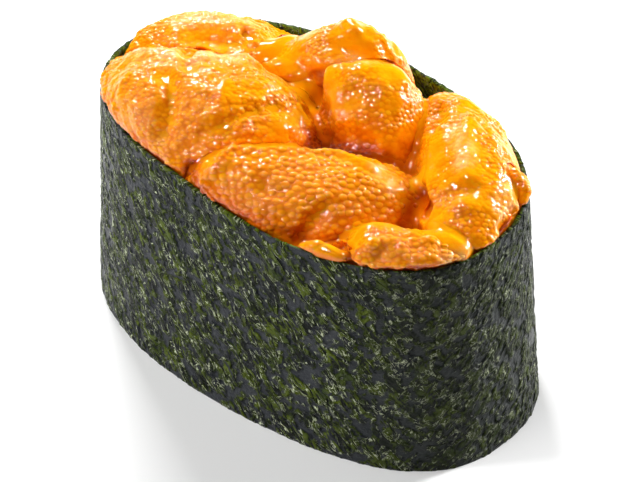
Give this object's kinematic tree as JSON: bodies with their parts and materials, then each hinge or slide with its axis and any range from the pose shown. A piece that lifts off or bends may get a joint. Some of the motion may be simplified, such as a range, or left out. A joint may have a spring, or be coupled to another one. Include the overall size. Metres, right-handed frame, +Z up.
{
  "type": "sea urchin gunkan sushi",
  "caption": "Oval gunkan sushi: a nori band wrapped round pressed rice and heaped above its rim with lobes of sea urchin roe.",
  "frame": {"origin": "middle of the oval at the base, on the surface the sushi stands on", "axes": "+X along the length of the oval, +Z up"},
  "size_m": [0.0578, 0.0349, 0.0374],
  "materials": {
    "nori": "toasted seaweed sheet, black-green with a low sheen",
    "rice": "cooked short-grain rice, soft white",
    "sea_urchin": "fresh sea urchin roe, wet and finely beaded, yellow-orange"
  },
  "bodies": {
    "root": {"nori_band": "nori", "rice_bed": "rice", "urchin_centre": "sea_urchin", "urchin_flake": "sea_urchin", "urchin_front": "sea_urchin", "urchin_front_left": "sea_urchin", "urchin_front_right": "sea_urchin", "urchin_rear": "sea_urchin", "urchin_rear_left": "sea_urchin", "urchin_right": "sea_urchin", "urchin_scrap": "sea_urchin"}
  },
  "joints": []
}
